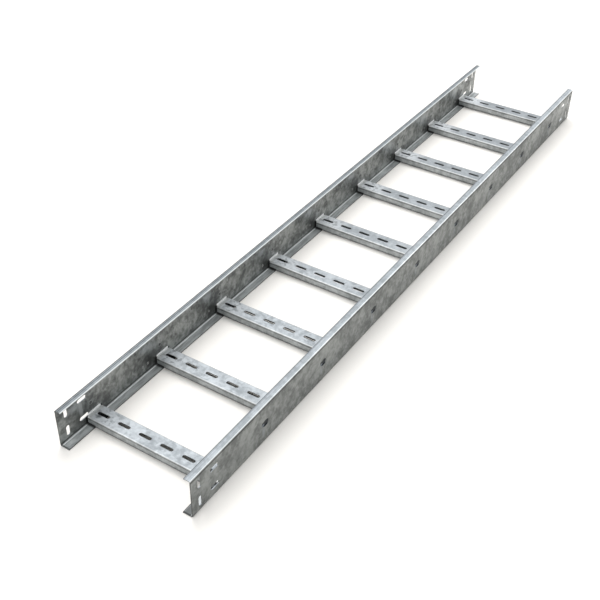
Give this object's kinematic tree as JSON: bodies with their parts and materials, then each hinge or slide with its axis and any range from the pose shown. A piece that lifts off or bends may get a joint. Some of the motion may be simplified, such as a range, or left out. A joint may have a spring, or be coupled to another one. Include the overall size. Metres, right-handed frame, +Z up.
{
  "type": "cable ladder section",
  "caption": "Straight cable ladder section: two C-section side rails with splice slots at both ends, joined by slotted channel rungs with folded-up ends.",
  "frame": {"origin": "on the floor under the middle of the section, halfway between the rails and halfway along them", "axes": "+X across the ladder to the right rail, +Y along the ladder towards its far end, +Z up out of the cable bed"},
  "size_m": [0.34, 2, 0.1],
  "materials": {
    "galvanised_rail": "hot-dip galvanised steel, satin grey with a cloudy spangle",
    "galvanised_rung": "hot-dip galvanised steel, slightly lighter and bluer, cloudy"
  },
  "bodies": {
    "root": {"rail_left": "galvanised_rail", "rail_right": "galvanised_rail", "rung_1": "galvanised_rung", "rung_2": "galvanised_rung", "rung_3": "galvanised_rung", "rung_4": "galvanised_rung", "rung_5": "galvanised_rung", "rung_6": "galvanised_rung", "rung_7": "galvanised_rung", "rung_8": "galvanised_rung", "rung_9": "galvanised_rung"}
  },
  "joints": []
}
